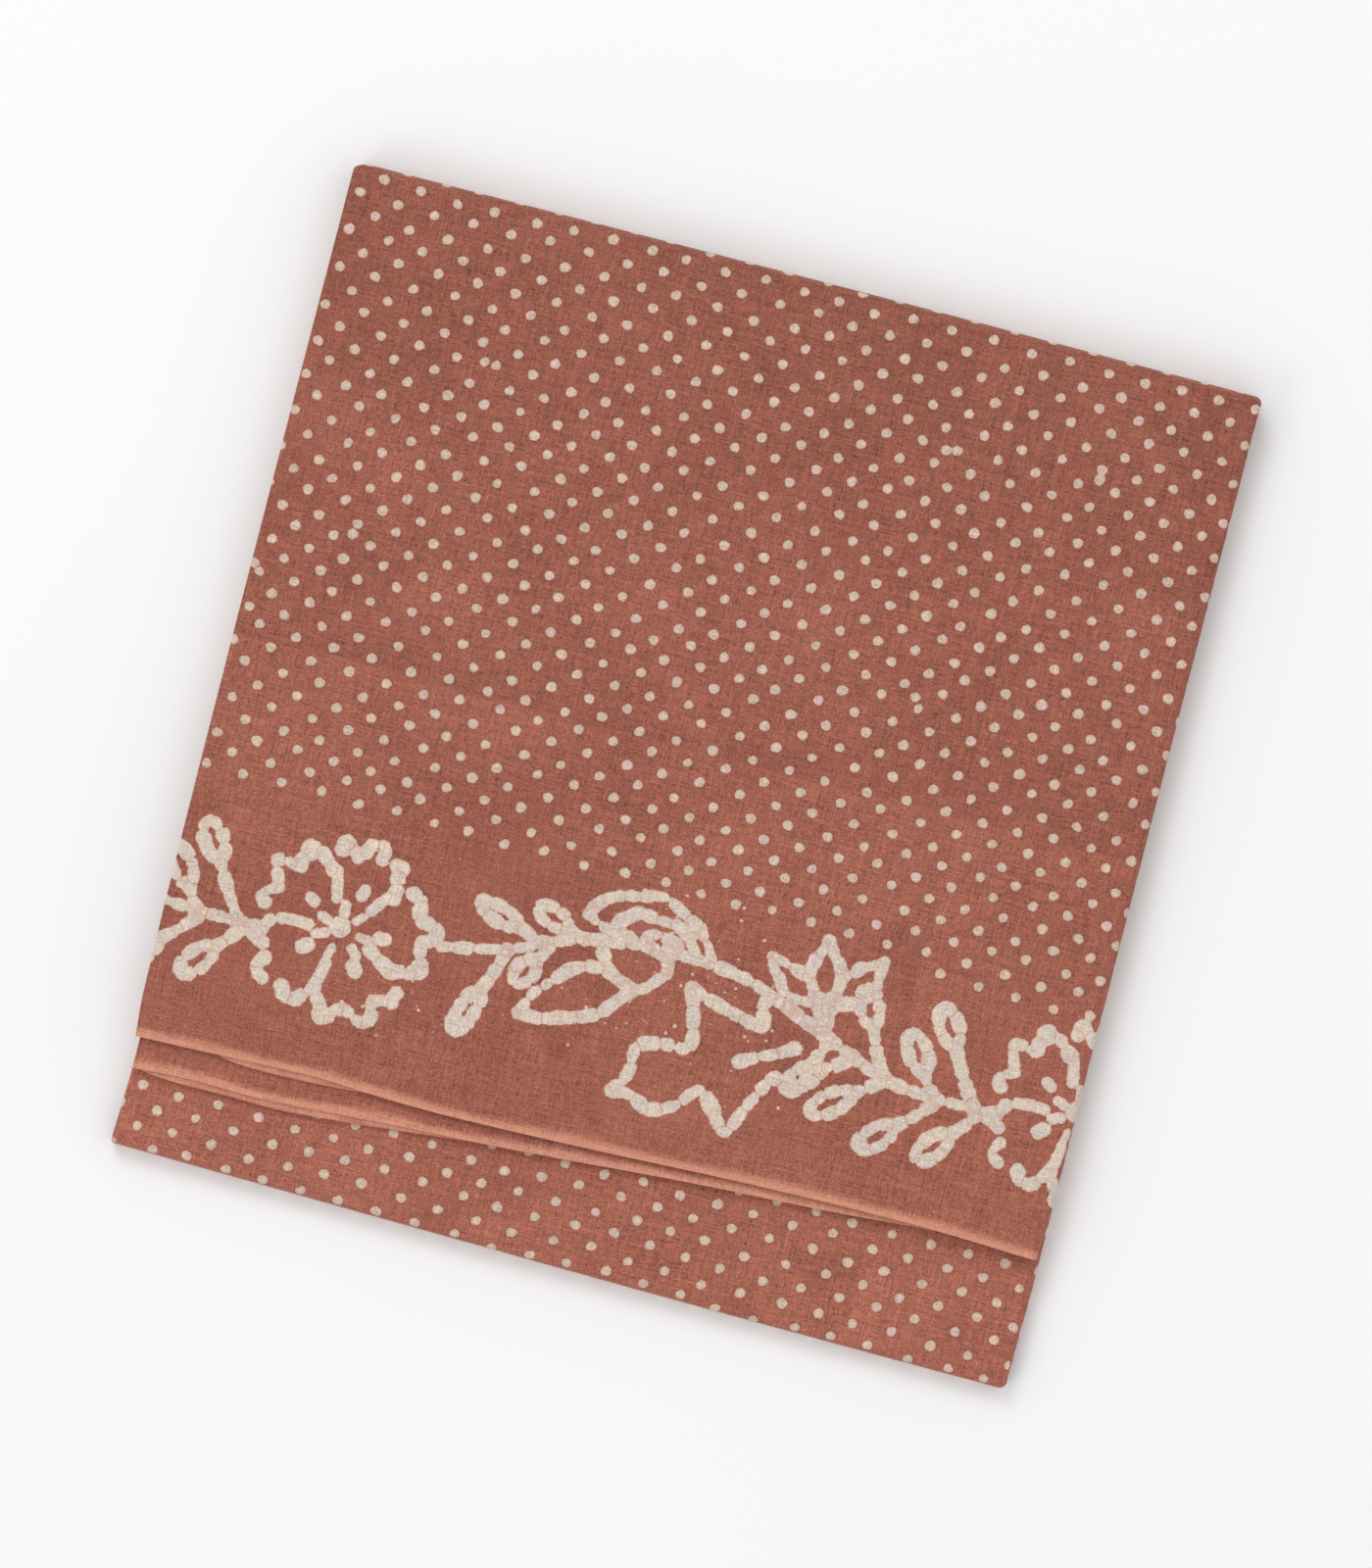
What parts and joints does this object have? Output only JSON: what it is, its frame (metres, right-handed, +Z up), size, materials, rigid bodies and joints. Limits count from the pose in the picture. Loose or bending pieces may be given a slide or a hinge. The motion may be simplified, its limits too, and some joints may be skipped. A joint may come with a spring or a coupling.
{
  "type": "folded saree",
  "caption": "Batik cotton saree folded to a flat rectangle: dotted cloth with a brushed vine border, its border third lying short of the front fold.",
  "frame": {"origin": "on the surface that it rests on, under the middle of the folded saree's box", "axes": "+X along the saree's length toward the last halving fold, +Y toward the back fold, +Z up"},
  "size_m": [0.359, 0.394, 0.0156],
  "materials": {
    "dyed_cotton": "matt plain-woven cotton, mottled rosewood dye with cream wax-resist dots and brushed flowers",
    "selvedge": "matt cotton selvedge, a paler orange band along the free edges"
  },
  "bodies": {
    "root": {"table_panel": "dyed_cotton", "folded_core": "dyed_cotton", "front_panel": "dyed_cotton", "lower_edge_layers": "selvedge", "second_flap": "dyed_cotton", "upper_edge_layers": "selvedge", "border_flap": "dyed_cotton"}
  },
  "joints": []
}
